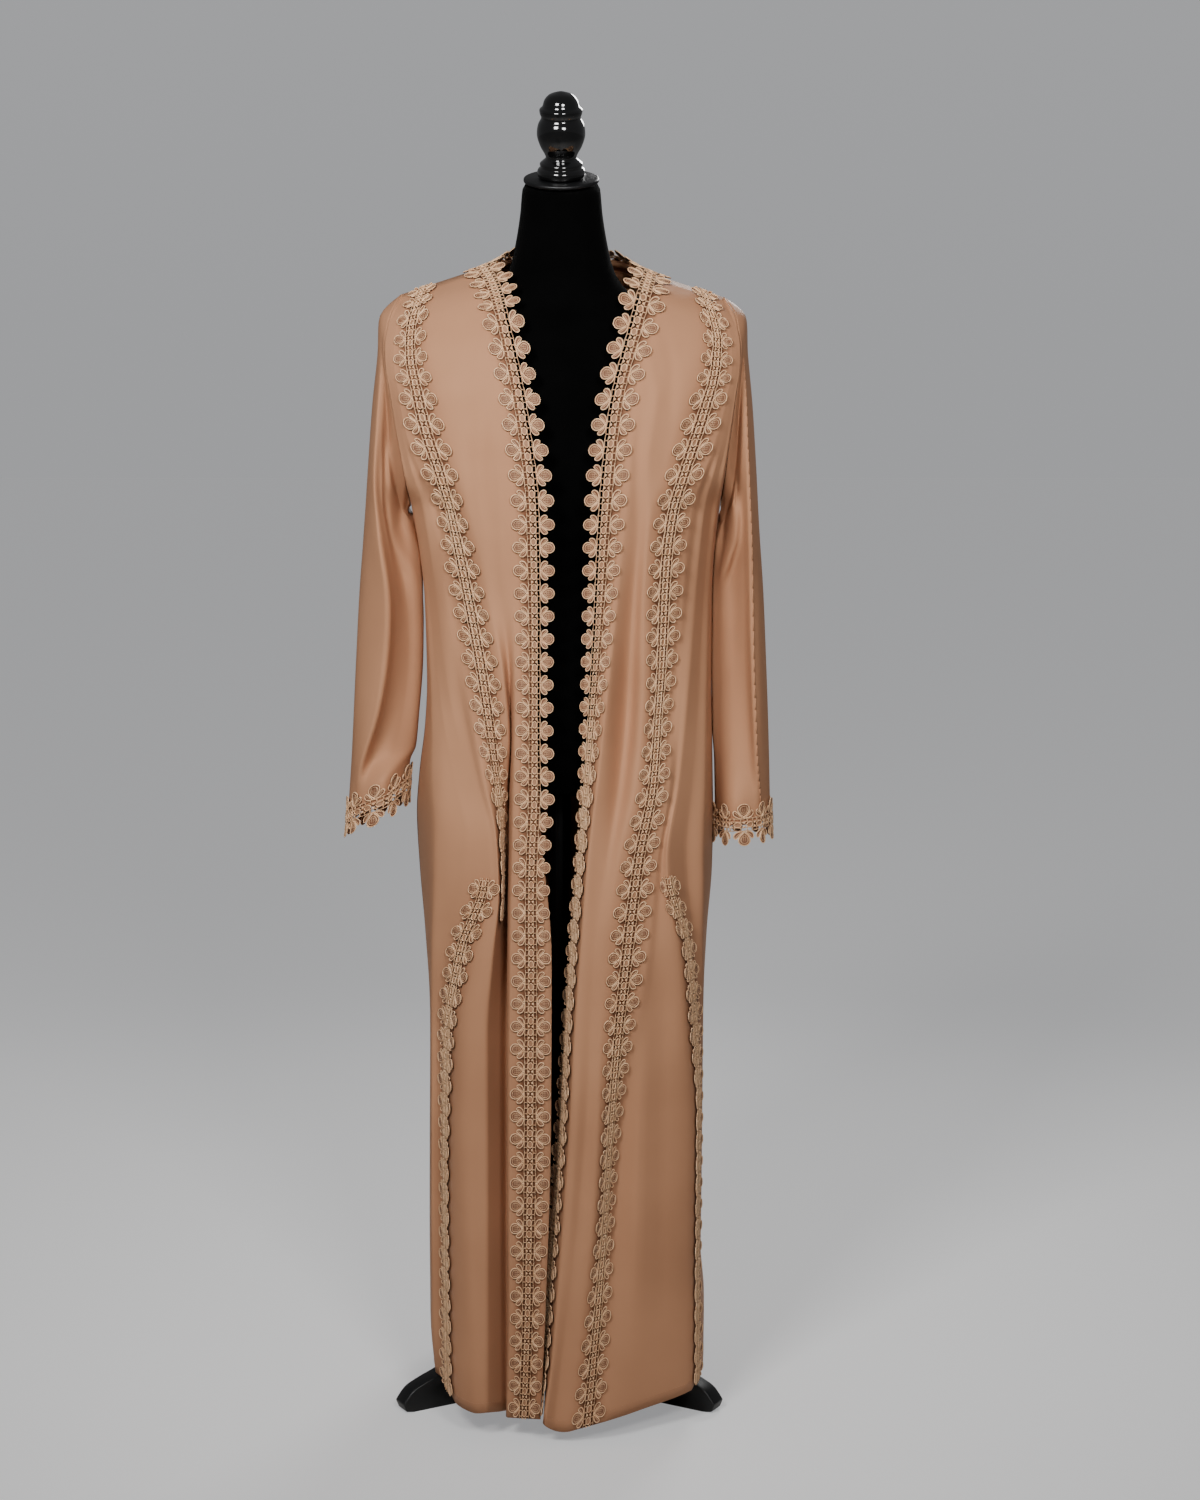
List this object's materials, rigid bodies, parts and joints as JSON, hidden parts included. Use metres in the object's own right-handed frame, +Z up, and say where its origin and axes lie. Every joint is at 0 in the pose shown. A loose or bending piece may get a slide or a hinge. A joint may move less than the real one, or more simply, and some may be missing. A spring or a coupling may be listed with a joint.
{
  "type": "abaya cloak on dress form",
  "caption": "Long open-front abaya in brown satin crepe with scalloped guipure lace down both fronts, neck and cuffs, worn by a black velvet dress form on a three-legged stand.",
  "frame": {"origin": "middle of the footprint on the floor, below the form's pole", "axes": "+Z up; -Y is the open front of the cloak; +X is to the right as seen from the front, and left and right in the names are as seen from there"},
  "size_m": [0.5229, 0.4521, 1.5908],
  "materials": {
    "satin_crepe": "satin",
    "guipure_lace": "matte",
    "black_velvet": "matte",
    "satin_black": "satin",
    "black_lacquer": "gloss"
  },
  "bodies": {
    "root": {"front_left": "satin_crepe", "front_right": "satin_crepe", "back": "satin_crepe", "sleeve_left": "satin_crepe", "sleeve_right": "satin_crepe", "lace_front_left": "guipure_lace", "lace_front_right": "guipure_lace", "lace_princess_left": "guipure_lace", "lace_princess_right": "guipure_lace", "lace_branch_left": "guipure_lace", "lace_branch_right": "guipure_lace", "lace_back_neck": "guipure_lace", "lace_cuff_left_front": "guipure_lace", "lace_cuff_left_back": "guipure_lace", "lace_cuff_right_front": "guipure_lace", "lace_cuff_right_back": "guipure_lace", "form_torso": "black_velvet", "neck_cap": "satin_black", "pole": "satin_black", "hub": "satin_black", "leg_1": "satin_black", "leg_2": "satin_black", "leg_3": "satin_black", "finial": "black_lacquer"}
  },
  "joints": []
}
